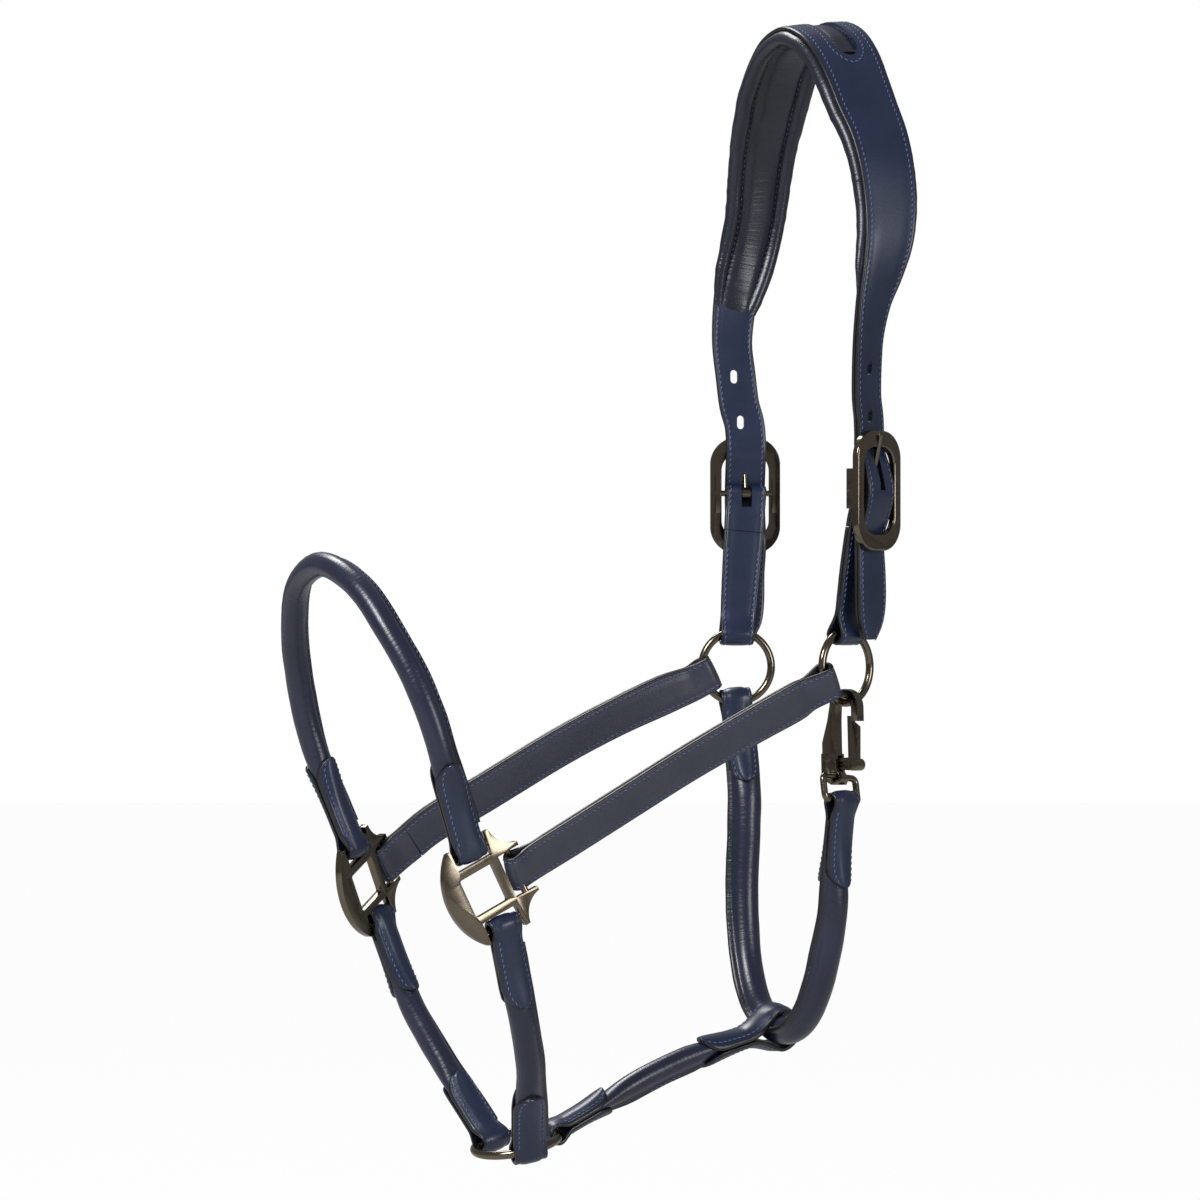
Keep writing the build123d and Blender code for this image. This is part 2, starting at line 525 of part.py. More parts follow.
# ---------------------------------------------------------------- assembly
def halter():
    """Write every piece."""
    crown()
    cheek_ring = facing(RING_AT, RING_FACES)
    far_ring = facing(Vector(RING_AT.X, -RING_AT.Y, RING_AT.Z), 180 - RING_FACES)
    chin_plane = Plane(origin=CHIN_AT, x_dir=(1, 0, -CHIN_UP.X), z_dir=CHIN_UP)
    ring("near_ring", cheek_ring, RING_R, RING_WIRE)
    ring("far_ring", far_ring, RING_R, RING_WIRE)
    ring("chin_ring", chin_plane, CHIN_R, CHIN_WIRE)

    near_square = facing(NEAR_SQUARE_AT, NEAR_SQUARE_FACES, NEAR_SQUARE_LEAN)
    far_square = facing(FAR_SQUARE_AT, FAR_SQUARE_FACES, FAR_SQUARE_LEAN)
    square("near", near_square, flip=False)
    square("far", far_square, flip=True)
    for side in ("near", "far"):
        buckle(side)
        chape(side)
    cheek_strap("near", NEAR_CHEEK, near_square, cheek_ring, 27)
    cheek_strap("far", FAR_CHEEK, far_square, far_ring, 15)

    rolled("noseband", NOSE_ROLL)
    rolled("near_chin", NEAR_CHIN_ROLL)
    rolled("far_chin", FAR_CHIN_ROLL)
    rolled("jowl", JOWL_ROLL, JOWL)
    rolled("throat", THROAT_ROLL, THROAT)

    for side, frame, nose, nose_u, chin, chin_u, width in (
        ("near", near_square, NOSE_ROLL[:3], 1.9, NEAR_CHIN_ROLL, 2.2, 16.6),
        ("far", far_square, NOSE_ROLL[:-4:-1], 1.0, FAR_CHIN_ROLL, 2.8, 15.6),
    ):
        out = Vector(0, 1 if side == "near" else -1, 0)
        top = frame.from_local_coords(Vector(nose_u, BAR_OUT, 0))
        low = frame.from_local_coords(Vector(chin_u, -BAR_OUT, 0))
        along = Vector(*nose[2][:3]) - top
        tab(f"noseband_{side}_tab", top, along, frame.x_dir, BAR_EYE, 47, 6.5, out, width)
        tab(f"{side}_chin_upper_tab", low, Vector(*chin[2][:3]) - low, frame.x_dir, BAR_EYE, 42, 6.3, out,
            width)
        round_to = Vector(0.2, 1 if side == "near" else -1, 0)
        round_to = (round_to - CHIN_UP * round_to.dot(CHIN_UP)).normalized()
        at = CHIN_AT + round_to * (CHIN_R - SAG)
        wire = CHIN_UP.cross(round_to)
        tab(f"{side}_chin_lower_tab", at, Vector(*chin[-3][:3]) - at, wire, RING_EYE, 38, 6.3, out)

    back = (Vector(-1, 0, 0) + CHIN_UP * CHIN_UP.X).normalized()
    at = CHIN_AT + back * (CHIN_R - SAG)
    tab("jowl_front_tab", at, Vector(*JOWL_ROLL[2][:3]) - at, CHIN_UP.cross(back), RING_EYE, 36, 6.3,
        Vector(0, 0, 1))
    throat_low = Vector(*THROAT_ROLL[9][:3])
    across = Vector(*THROAT_ROLL[8][:3]) - Vector(*THROAT_ROLL[10][:3])
    tab("jowl_throat_loop", throat_low, Vector(*JOWL_ROLL[-3][:3]) - throat_low,
        across.normalized(), THROAT / 2 + 1.9, 46, 6.3, Vector(0, 0, 1))

    eye = snap()
    eye_at = eye.from_local_coords(Vector(0, 6.2, 0))
    tab("throat_near_tab", eye_at, Vector(*THROAT_ROLL[2][:3]) - eye_at, eye.x_dir, BAR_EYE, 43, 7.2,
        Vector(0, 1, 0))
    turn = math.radians(2)
    low = far_ring.from_local_coords(Vector(-math.sin(turn), -math.cos(turn), 0) * (RING_R - SAG))
    wire = far_ring.from_local_coords(Vector(math.cos(turn), -math.sin(turn), 0)) - far_ring.origin
    tab("throat_far_tab", low, Vector(*THROAT_ROLL[-3][:3]) - low, wire, RING_EYE, 43, 7.2,
        Vector(0, -1, 0), 15.8)


halter()
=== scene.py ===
"""Navy leather headcollar: padded crown, buckled cheeks, rolled noseband, chin, jowl and throat straps.

Metres. +X runs towards the nose, +Y to the wearer's left (near) side, +Z up, and the origin is under the
crown at the poll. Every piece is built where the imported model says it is.
"""

import math

import bmesh
import bpy
from mathutils import Matrix, Vector, noise


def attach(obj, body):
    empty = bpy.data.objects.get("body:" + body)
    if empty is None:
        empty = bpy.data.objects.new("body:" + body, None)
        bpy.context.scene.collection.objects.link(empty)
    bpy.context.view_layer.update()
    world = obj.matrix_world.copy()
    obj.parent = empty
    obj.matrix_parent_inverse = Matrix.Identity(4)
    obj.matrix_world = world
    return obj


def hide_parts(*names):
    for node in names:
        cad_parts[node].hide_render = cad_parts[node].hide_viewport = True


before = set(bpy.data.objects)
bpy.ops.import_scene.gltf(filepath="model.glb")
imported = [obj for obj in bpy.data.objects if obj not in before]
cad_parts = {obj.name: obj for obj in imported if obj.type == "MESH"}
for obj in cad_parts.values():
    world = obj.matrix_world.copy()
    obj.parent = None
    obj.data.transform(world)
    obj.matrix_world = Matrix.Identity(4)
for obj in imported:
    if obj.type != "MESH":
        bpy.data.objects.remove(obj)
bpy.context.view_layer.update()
MM = 0.001

# ---------------------------------------------------------------- studio
# The headcollar hangs open over a plain floor. The camera sees floor and room as white, but both light
# the object only dimly. A soft key stands in front to the left, a weaker fill to the right, and a third
# lamp above and behind. The camera stands level, off the near front quarter.
SIDEWAYS = Vector((-0.8829, 0.4695, 0))
TOWARDS_CAMERA = Vector((0.4695, 0.8829, 0))
camera_data = bpy.data.cameras.new("camera")
camera_data.lens = 240
camera_data.sensor_width = 36
camera_data.shift_y = 0.0458
camera_data.clip_end = 60
camera = bpy.data.objects.new("camera", camera_data)
camera.location = TOWARDS_CAMERA * 4.06 - SIDEWAYS * 0.1142 + Vector((0, 0, -0.307))
camera.rotation_euler = (-TOWARDS_CAMERA).to_track_quat("-Z", "Y").to_euler()
bpy.context.scene.collection.objects.link(camera)
bpy.context.scene.camera = camera
bpy.context.scene.view_settings.view_transform = "Standard"


def finish(name, colour, roughness):
    """A new material with its main shader's plain values set."""
    material = bpy.data.materials.new(name)
    material.use_nodes = True
    shader = material.node_tree.nodes["Principled BSDF"]
    shader.inputs["Base Color"].default_value = (*colour, 1)
    shader.inputs["Roughness"].default_value = roughness
    return material, shader


FLOOR_LEVEL, FLOOR_RADIUS = -0.64, 14
floor_mesh = bpy.data.meshes.new("floor")
bm = bmesh.new()
under_it = Matrix.Translation((0, 0, FLOOR_LEVEL))
bmesh.ops.create_circle(bm, cap_ends=True, segments=64, radius=FLOOR_RADIUS, matrix=under_it)
bm.to_mesh(floor_mesh)
bm.free()
floor = bpy.data.objects.new("floor", floor_mesh)
bpy.context.scene.collection.objects.link(floor)
paper, shader = finish("pale_floor", (0.55, 0.55, 0.55), 0.9)
links, nodes = paper.node_tree.links, paper.node_tree.nodes
glow = nodes.new("ShaderNodeEmission")
seen = nodes.new("ShaderNodeLightPath")
either = nodes.new("ShaderNodeMixShader")
share = nodes.new("ShaderNodeMath")
share.operation = "MULTIPLY"
share.inputs[1].default_value = 0.97
links.new(seen.outputs["Is Camera Ray"], share.inputs[0])
links.new(share.outputs["Value"], either.inputs["Fac"])
links.new(shader.outputs["BSDF"], either.inputs[1])
links.new(glow.outputs["Emission"], either.inputs[2])
links.new(either.outputs["Shader"], nodes["Material Output"].inputs["Surface"])
floor_mesh.materials.append(paper)

world = bpy.data.worlds.new("white_room")
world.use_nodes = True
links, nodes = world.node_tree.links, world.node_tree.nodes
dim_walls = nodes["Background"]
white_sheet = nodes.new("ShaderNodeBackground")
dim_walls.inputs["Color"].default_value = (0.24, 0.24, 0.25, 1)
white_sheet.inputs["Color"].default_value = (1, 1, 1, 1)
seen = nodes.new("ShaderNodeLightPath")
either = nodes.new("ShaderNodeMixShader")
links.new(seen.outputs["Is Camera Ray"], either.inputs["Fac"])
links.new(dim_walls.outputs["Background"], either.inputs[1])
links.new(white_sheet.outputs["Background"], either.inputs[2])
links.new(either.outputs["Shader"], nodes["World Output"].inputs["Surface"])
bpy.context.scene.world = world

LAMPS = (
    ("key", TOWARDS_CAMERA * 1.7 - SIDEWAYS * 1.3 + Vector((0, 0, 1.1)), 0.8, 50),
    ("fill", TOWARDS_CAMERA * 1.6 + SIDEWAYS * 1.7 + Vector((0, 0, 0.1)), 0.8, 16),
    ("back", TOWARDS_CAMERA * -1.2 - SIDEWAYS * 0.8 + Vector((0, 0, 1.7)), 0.9, 30),
)
for name, place, side, power in LAMPS:
    lamp_data = bpy.data.lights.new(name, "AREA")
    lamp_data.size = side
    lamp_data.energy = power
    lamp = bpy.data.objects.new(name, lamp_data)
    lamp.location = place
    lamp.rotation_euler = (Vector((0.1, 0, -0.3)) - place).to_track_quat("-Z", "Y").to_euler()
    bpy.context.scene.collection.objects.link(lamp)


# ---------------------------------------------------------------- cast hardware
# Halter squares, buckles, rings and snap are die castings and bent wire in polished black nickel, with
# softly rounded edges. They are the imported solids, the castings as copies with their edges rolled over.
nickel, shader = finish("black_nickel", (0.17, 0.142, 0.105), 0.2)
shader.inputs["Metallic"].default_value = 1
links, nodes = nickel.node_tree.links, nickel.node_tree.nodes
place = nodes.new("ShaderNodeTexCoord")
cloud = nodes.new("ShaderNodeTexNoise")
cloud.inputs["Scale"].default_value = 120
cloud.inputs["Detail"].default_value = 5
tone = nodes.new("ShaderNodeMapRange")
tone.inputs["To Min"].default_value = 0.1
tone.inputs["To Max"].default_value = 0.22
links.new(place.outputs["Object"], cloud.inputs["Vector"])
links.new(cloud.outputs["Fac"], tone.inputs["Value"])
links.new(tone.outputs["Result"], shader.inputs["Roughness"])
orange_peel = nodes.new("ShaderNodeBump")
orange_peel.inputs["Strength"].default_value = 0.12
orange_peel.inputs["Distance"].default_value = 0.2 * MM
links.new(cloud.outputs["Fac"], orange_peel.inputs["Height"])
links.new(orange_peel.outputs["Normal"], shader.inputs["Normal"])


def piece_of(name, bm, material, body, slot, *stands_for, crisp=40):
    """The finished piece from its bmesh: shaded, riding on its body, hiding the nodes it stands for."""
    mesh = bpy.data.meshes.new(name)
    bm.to_mesh(mesh)
    bm.free()
    mesh.polygons.foreach_set("use_smooth", [True] * len(mesh.polygons))
    mesh.set_sharp_from_angle(angle=math.radians(crisp))
    mesh.materials.append(material)
    piece = bpy.data.objects.new(name, mesh)
    bpy.context.scene.collection.objects.link(piece)
    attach(piece, body)
    if stands_for:
        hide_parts(*stands_for)
    return piece


def casting(node, body, roll):
    """A packed casting with its sharp edges rolled over."""
    bm = bmesh.new()
    bm.from_mesh(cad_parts[node].data)
    bmesh.ops.remove_doubles(bm, verts=bm.verts, dist=0.002 * MM)
    bmesh.ops.dissolve_limit(bm, angle_limit=math.radians(2), verts=bm.verts, edges=bm.edges)
    sharp = [e for e in bm.edges if e.is_manifold and e.calc_face_angle(0) > math.radians(35)]
    bmesh.ops.bevel(bm, geom=sharp, offset=roll, affect="EDGES", segments=3, profile=0.5, material=-1,
                    clamp_overlap=True)
    return piece_of(f"{node}_cast", bm, nickel, body, "dark_metal", node, crisp=60)


for side in ("near", "far"):
    casting(f"{side}_square", "leather", 0.55 * MM)
    casting(f"{side}_buckle_frame", "leather", 1.2 * MM)
casting("snap_body", "snap", 0.5 * MM)
casting("snap_gate", "gate", 0.35 * MM)
for node in ("near_ring", "far_ring", "chin_ring", "snap_eye", "snap_rivet", "near_buckle_bar",
             "far_buckle_bar", "near_buckle_tongue", "far_buckle_tongue", "snap_spring"):
    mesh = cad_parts[node].data
    mesh.materials.clear()
    mesh.materials.append(nickel)


# ---------------------------------------------------------------- crown
# The headpiece: 2.2 mm navy strap leather, 37 mm wide at the poll and waisted down to the billets,
# black along its cut edges, with a row of blue stitching along each side and round the poll slot.
STRAP_WIDE = 20.5
STRAP = STRAP_WIDE * MM
LEATHER = 2.2 * MM
CROWN_LINE = [
    (7.5, 0.0, 10.8, 0.11, 0.0, 1.0, 37.0),
    (7.5, 19.0, 6.0, 0.1, 0.45, 0.9, 37.0),
    (7.0, 33.0, -4.5, 0.06, 0.75, 0.66, 36.5),
    (6.5, 43.5, -18.0, 0.0, 0.85, 0.5, 36.0),
    (5.5, 52.0, -32.0, 0.0, 0.87, 0.48, 35.0),
    (4.0, 60.5, -46.0, 0.0, 0.92, 0.38, 33.0),
    (3.0, 66.5, -62.0, 0.0, 0.97, 0.22, 31.5),
    (3.0, 70.5, -80.0, 0.0, 0.99, 0.12, 30.0),
    (5.0, 73.0, -98.0, -0.05, 1.0, 0.0, 28.5),
    (9.0, 73.0, -115.0, -0.15, 0.99, -0.05, 25.5),
    (13.0, 72.0, -130.0, -0.25, 0.96, -0.1, 22.0),
    (15.0, 70.3, -147.0, -0.36, 0.93, -0.1, 20.5),
    (14.5, 67.6, -163.0, -0.4, 0.91, -0.1, 20.5),
    (13.5, 65.6, -178.0, -0.4, 0.91, 0.0, 20.5),
    (11.4, 63.9, -188.0, -0.39, 0.92, 0.0, 20.5),
    (10.7, 63.4, -197.0, -0.39, 0.92, 0.0, 20.5),
    (10.6, 63.5, -204.0, -0.39, 0.92, 0.0, 20.5),
    (9.3, 66.6, -213.0, -0.39, 0.92, 0.0, 20.5),
    (8.2, 69.2, -225.0, -0.39, 0.92, 0.0, 20.5),
    (9.3, 66.6, -237.0, -0.39, 0.92, 0.0, 20.5),
    (10.6, 63.5, -246.0, -0.39, 0.92, 0.0, 20.5),
    (10.7, 63.4, -253.5, -0.39, 0.92, 0.0, 20.5),
    (10.9, 64.6, -265.0, -0.35, 0.93, -0.1, 20.5),
    (10.9, 64.9, -280.0, -0.35, 0.93, -0.1, 20.5),
    (10.9, 64.2, -291.0, -0.35, 0.93, -0.1, 17.0),
    (11.0, 63.2, -299.0, -0.35, 0.93, -0.1, 8.0),
]
WAIST = 11


def leather(name, colour, dark, roughness, grain, creases):
    """Dyed leather: two tones, black burnished edges, fine grain, and creases across a piece's run."""
    material, shader = finish(name, colour, roughness)
    shader.inputs["Coat Weight"].default_value = 0.2
    shader.inputs["Coat Roughness"].default_value = 0.22
    links, nodes = material.node_tree.links, material.node_tree.nodes
    place = nodes.new("ShaderNodeTexCoord")
    blotch = nodes.new("ShaderNodeTexNoise")
    blotch.inputs["Scale"].default_value = 45
    blotch.inputs["Detail"].default_value = 6
    links.new(place.outputs["Object"], blotch.inputs["Vector"])
    dye = nodes.new("ShaderNodeMix")
    dye.data_type = "RGBA"
    dye.inputs["A"].default_value = (*dark, 1)
    dye.inputs["B"].default_value = (*colour, 1)
    links.new(blotch.outputs["Fac"], dye.inputs["Factor"])
    edge = nodes.new("ShaderNodeAttribute")
    edge.attribute_name = "edge"
    burnish = nodes.new("ShaderNodeMix")
    burnish.data_type = "RGBA"
    burnish.inputs["B"].default_value = (0.006, 0.006, 0.008, 1)
    links.new(dye.outputs["Result"], burnish.inputs["A"])
    links.new(edge.outputs["Fac"], burnish.inputs["Factor"])
    links.new(burnish.outputs["Result"], shader.inputs["Base Color"])
    shine = nodes.new("ShaderNodeMapRange")
    shine.inputs["To Min"].default_value = roughness - 0.07
    shine.inputs["To Max"].default_value = roughness + 0.1
    links.new(blotch.outputs["Fac"], shine.inputs["Value"])
    links.new(shine.outputs["Result"], shader.inputs["Roughness"])
    pores = nodes.new("ShaderNodeTexVoronoi")
    pores.inputs["Scale"].default_value = 1400
    links.new(place.outputs["Object"], pores.inputs["Vector"])
    fine = nodes.new("ShaderNodeBump")
    fine.inputs["Strength"].default_value = grain
    fine.inputs["Distance"].default_value = 0.12 * MM
    links.new(pores.outputs["Distance"], fine.inputs["Height"])
    run = nodes.new("ShaderNodeAttribute")
    run.attribute_name = "run"
    squeeze = nodes.new("ShaderNodeVectorMath")
    squeeze.operation = "SCALE"
    squeeze.inputs["Scale"].default_value = 60
    links.new(place.outputs["Object"], squeeze.inputs[0])
    lift = nodes.new("ShaderNodeMath")
    lift.operation = "MULTIPLY"
    lift.inputs[1].default_value = 620
    links.new(run.outputs["Fac"], lift.inputs[0])
    shift = nodes.new("ShaderNodeCombineXYZ")
    links.new(lift.outputs["Value"], shift.inputs["X"])
    cross = nodes.new("ShaderNodeVectorMath")
    cross.operation = "ADD"
    links.new(squeeze.outputs["Vector"], cross.inputs[0])
    links.new(shift.outputs["Vector"], cross.inputs[1])
    crease = nodes.new("ShaderNodeTexNoise")
    crease.inputs["Scale"].default_value = 1
    crease.inputs["Detail"].default_value = 3
    links.new(cross.outputs["Vector"], crease.inputs["Vector"])
    folds = nodes.new("ShaderNodeBump")
    folds.inputs["Strength"].default_value = creases
    folds.inputs["Distance"].default_value = 0.4 * MM
    links.new(crease.outputs["Fac"], folds.inputs["Height"])
    links.new(fine.outputs["Normal"], folds.inputs["Normal"])
    links.new(folds.outputs["Normal"], shader.inputs["Normal"])
    return material


NAVY, NAVY_DARK = (0.013, 0.024, 0.066), (0.006, 0.011, 0.032)
strap_leather = leather("navy_strap_leather", NAVY, NAVY_DARK, roughness=0.36, grain=0.25, creases=0.12)


def smooth(rows, steps=3):
    """Even steps along the smooth line through given rows of numbers."""
    out = []
    for i in range(len(rows) - 1):
        a, b, c, d = rows[max(i - 1, 0)], rows[i], rows[i + 1], rows[min(i + 2, len(rows) - 1)]
        for k in range(steps):
            t = k / steps
            out.append([
                0.5 * (2 * q + (r - p) * t + (2 * p - 5 * q + 4 * r - s) * t**2
                       + (3 * q - p - 3 * r + s) * t**3)
                for p, q, r, s in zip(a, b, c, d)
            ])
    out.append(list(rows[-1]))
    return out


def stations(rows, steps=3, size=(1, 1)):
    """A matrix at each step of a line in millimetres: x across, y out of the face, z along.

    A row's seventh and eighth numbers, where it has them, scale the section to that width and height.
    """
    line = smooth(rows, steps)
    points = [Vector(row[:3]) * MM for row in line]
    out = []
    for i, row in enumerate(line):
        along = (points[min(i + 1, len(points) - 1)] - points[max(i - 1, 0)]).normalized()
        across = Vector(row[3:6]).cross(along).normalized()
        turn = Matrix((across, along.cross(across), along)).transposed().to_4x4()
        wide = row[6] / size[0] if len(row) > 6 else 1
        high = row[7] / size[1] if len(row) > 7 else 1
        out.append(Matrix.Translation(points[i]) @ turn @ Matrix.Diagonal((wide, high, 1, 1)))
    return out


def mirrored(rows):
    """The far half of a line that is the same on both sides."""
    return [(r[0], -r[1], r[2], r[3], -r[4], r[5], *r[6:]) for r in rows]


def swept(outline, places):
    """Closed skin of an outline, given as (across, out, how far it is cut edge), carried along places."""
    bm = bmesh.new()
    run, edge = bm.verts.layers.float.new("run"), bm.verts.layers.float.new("edge")
    ring = [bm.verts.new(places[0] @ Vector((x, y, 0))) for x, y, _ in outline]
    for vert, (_, _, cut) in zip(ring, outline):
        vert[edge] = cut
    loop = [bm.edges.new(pair) for pair in zip(ring, ring[1:] + ring[:1])]
    gone = 0
    for before, here in zip(places, places[1:]):
        gone += (here.translation - before.translation).length
        got = bmesh.ops.extrude_edge_only(bm, edges=loop)["geom"]
        moved = [g for g in got if isinstance(g, bmesh.types.BMVert)]
        kept = set(moved)
        loop = [g for g in got if isinstance(g, bmesh.types.BMEdge) and set(g.verts) <= kept]
        bmesh.ops.transform(bm, matrix=here @ before.inverted(), verts=moved)
        for vert in moved:
            vert[run] = gone
    ends = [e for e in bm.edges if e.is_boundary]
    bmesh.ops.holes_fill(bm, edges=ends, sides=0)
    bmesh.ops.recalc_face_normals(bm, faces=bm.faces)
    return bm


def flat_outline(width, thick, swell=0.32 * MM, low=0.0):
    """Crowned strap section from low to low + thick, with a creased line inside each edge."""
    half = width / 2
    right = [
        (half - 0.7 * MM, 0.0, 0.5), (half - 0.15 * MM, 0.12 * thick, 1), (half, 0.35 * thick, 1),
        (half, 0.65 * thick, 1), (half - 0.2 * MM, 0.87 * thick, 1), (half - 0.7 * MM, thick, 0.5),
        (half - 1.2 * MM, thick, 0), (half - 1.5 * MM, thick - 0.14 * MM, 0.2), (half - 1.8 * MM, thick, 0),
        (half - 2.6 * MM, thick - 0.1 * MM, 0), (half - 3.8 * MM, thick + 0.55 * swell, 0),
        (half / 3, thick + swell, 0),
    ]
    left = [(-x, y, cut) for x, y, cut in reversed(right)]
    return [(x, y + low, cut) for x, y, cut in right + left]


def seam(places, x, y):
    """The line that a row of stitches follows: points, and the outward side at each."""
    side = 1 if y > 0 else -1
    return [(p @ Vector((x, y, 0)), p.col[1].xyz.normalized() * side) for p in places]


PITCH, THREAD, SLANT = 2.9 * MM, 0.34 * MM, 0.35


def sewn(name, lines):
    """Thread: one slanted stitch every pitch along each line of (point, outward side)."""
    bm = bmesh.new()
    for line in lines:
        wait = PITCH / 2
        for (a, out), (b, _) in zip(line, line[1:]):
            step = (b - a).length
            if step < 1e-7:
                continue
            along = (b - a) / step
            while wait < step:
                slant = (along + along.cross(out) * SLANT).normalized()
                turn = Matrix((slant, out.cross(slant).normalized(), out)).transposed().to_4x4()
                size = Matrix.Diagonal((0.4 * PITCH, THREAD, 0.8 * THREAD, 1))
                laid = Matrix.Translation(a + along * wait) @ turn @ size
                bmesh.ops.create_uvsphere(bm, u_segments=6, v_segments=4, radius=1, matrix=laid)
                wait += PITCH
            wait -= step
    return piece_of(name, bm, thread, "leather", "strap_leather", crisp=80)


thread, shader = finish("blue_thread", (0.085, 0.125, 0.25), 0.5)
links, nodes = thread.node_tree.links, thread.node_tree.nodes
place = nodes.new("ShaderNodeTexCoord")
twist = nodes.new("ShaderNodeTexNoise")
twist.inputs["Scale"].default_value = 2500
fuzz = nodes.new("ShaderNodeBump")
fuzz.inputs["Strength"].default_value = 0.5
fuzz.inputs["Distance"].default_value = 0.1 * MM
links.new(place.outputs["Object"], twist.inputs["Vector"])
links.new(twist.outputs["Fac"], fuzz.inputs["Height"])
links.new(fuzz.outputs["Normal"], shader.inputs["Normal"])


def facing(at, compass, lean=0.0):
    """Matrix of a plane standing upright at a place in millimetres: x backwards, y up, z outwards."""
    out = Vector((math.cos(math.radians(compass)), math.sin(math.radians(compass)), 0))
    tilt = math.radians(lean)
    back = Vector((0, 0, 1)).cross(out) * math.cos(tilt) + Vector((0, 0, math.sin(tilt)))
    turn = Matrix((back, out.cross(back), out)).transposed().to_4x4()
    return Matrix.Translation(Vector(at) * MM) @ turn


def punch(piece, cutter, folded=False):
    """Cuts a closed bmesh out of a piece for good; folded is for a piece that touches itself."""
    mesh = bpy.data.meshes.new("cutter")
    bmesh.ops.recalc_face_normals(cutter, faces=cutter.faces)
    cutter.to_mesh(mesh)
    cutter.free()
    tool = bpy.data.objects.new("cutter", mesh)
    bpy.context.scene.collection.objects.link(tool)
    cut = piece.modifiers.new("cut", "BOOLEAN")
    cut.object = tool
    cut.solver = "EXACT"
    cut.use_self = folded
    bpy.context.view_layer.update()
    depsgraph = bpy.context.evaluated_depsgraph_get()
    done = bpy.data.meshes.new_from_object(piece.evaluated_get(depsgraph), depsgraph=depsgraph)
    piece.modifiers.clear()
    piece.data = done
    bpy.data.objects.remove(tool)
    bpy.data.meshes.remove(mesh)


def slot_cutter(bm, place, length, width, deep):
    """A round-ended slot, long in y, through both faces of a place."""
    made = bmesh.ops.create_cone(bm, cap_ends=True, segments=26, radius1=width / 2, radius2=width / 2,
                                 depth=deep)
    for vert in made["verts"]:
        vert.co.y += math.copysign((length - width) / 2, vert.co.y)
    bmesh.ops.transform(bm, matrix=place, verts=made["verts"])


BUCKLE_AT, BUCKLE_FACES = (8.7, 68, -225), 113
PIN_IN, PIN_UP = 5.0, 1.0
HOLES = ((14.9, 69.0, -164.0), (12.9, 65.5, -187.5))
HOLE_LONG, HOLE_WIDE = 7 * MM, 3.8 * MM
TONGUE_MIDDLE = Vector((0, 14.5, -1.05)) * MM
TONGUE_TILT, TONGUE_ROOM = 76.5, 2.5 * MM
FLIP = Matrix.Diagonal((1, -1, 1, 1))


def billet_holes():
    """Cutters for the punched holes of both billets, and for the tongues' way through them."""
    cutter = bmesh.new()
    tilt = Matrix.Rotation(math.radians(TONGUE_TILT), 4, "X")
    tongue = facing(BUCKLE_AT, BUCKLE_FACES) @ Matrix.Translation(TONGUE_MIDDLE) @ tilt
    for hand in (Matrix.Identity(4), FLIP):
        for spot in HOLES:
            slot_cutter(cutter, hand @ facing(spot, BUCKLE_FACES), HOLE_LONG, HOLE_WIDE, 24 * MM)
        bmesh.ops.create_cone(cutter, cap_ends=True, segments=24, radius1=TONGUE_ROOM,
                              radius2=TONGUE_ROOM, depth=30 * MM, matrix=hand @ tongue)
    return cutter


whole = mirrored(CROWN_LINE)[:0:-1] + CROWN_LINE
places = stations(whole, 4, (STRAP_WIDE, 1))
crown = piece_of("crown_leather", swept(flat_outline(STRAP, LEATHER), places), strap_leather,
                 "leather", "strap_leather", "crown_outer")
cutter = billet_holes()
SLOT_X, SLOT_LONG, SLOT_WIDE = 6, 74 * MM, 13 * MM
slot_cutter(cutter, Matrix.Translation((SLOT_X * MM, 0, 12 * MM)), SLOT_LONG, SLOT_WIDE, 40 * MM)
punch(crown, cutter)
SEAM_IN = 2.1 * MM
sewn("crown_thread", [seam(places, x * (STRAP / 2 - SEAM_IN), LEATHER + 0.02 * MM) for x in (-1, 1)])

# ---------------------------------------------------------------- crown padding and lining
# Soft navy lining leather wrapped over felt: a fat roll along each edge that stands past the strap,
# a sewn channel beside each roll, and a crowned middle that rests on the poll. Sewn to the outer leather.
SOFT_NAVY, SOFT_NAVY_DARK = (0.011, 0.014, 0.029), (0.006, 0.007, 0.015)
lining_leather = leather("navy_lining_leather", SOFT_NAVY, SOFT_NAVY_DARK, roughness=0.32, grain=0.35,
                         creases=0.8)
SKIN = 1.3
PAD_THICK = [7.0, 7.0, 7.0, 7.0, 6.8, 6.5, 6.2, 6.0, 5.2, 3.6, 1.6]
LINING_DRAWN = (36, 8.5)
CHANNEL_X, CHANNEL_Y = 11.7 * MM, -5.2 * MM
LINING_HALF = [
    (0.0, -8.5), (5.0, -8.4), (8.8, -7.6), (10.9, -6.0), (11.7, -5.2), (12.5, -6.2), (13.9, -7.9),
    (16.0, -8.7), (18.4, -8.2), (20.2, -6.6), (21.0, -4.6), (20.6, -2.5), (19.2, -0.9), (17.6, -0.1),
    (8.0, -0.05),
]


def padded_rows():
    """Poll to waist on both sides, with the padding's depth as each row's last number."""
    near = [(*row, pad + SKIN) for row, pad in zip(CROWN_LINE[:WAIST], PAD_THICK)]
    near[-1] = (*near[-1][:6], 19.6, 2.2)
    return mirrored(near)[:0:-1] + near


